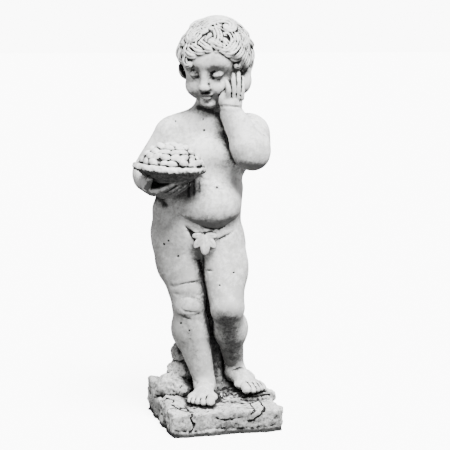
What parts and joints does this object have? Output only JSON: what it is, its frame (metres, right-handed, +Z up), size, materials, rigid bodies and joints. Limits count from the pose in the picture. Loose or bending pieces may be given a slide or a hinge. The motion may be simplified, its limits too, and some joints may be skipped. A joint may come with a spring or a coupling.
{
  "type": "cherub garden statue",
  "caption": "Cast-stone garden statue of a curly-haired child on a rocky square base, holding out a shallow bowl of fruit and resting its cheek on its hand.",
  "frame": {"origin": "centre of the square base, on its underside", "axes": "+Z up, -Y out of the base's front face, +X to the right as seen from the front"},
  "size_m": [0.2754, 0.2558, 0.7519],
  "materials": {
    "cast_stone": "matt, pale grey weathered cast stone with dark dirt in the creases"
  },
  "bodies": {
    "root": {"cherub_statue": "cast_stone"}
  },
  "joints": []
}
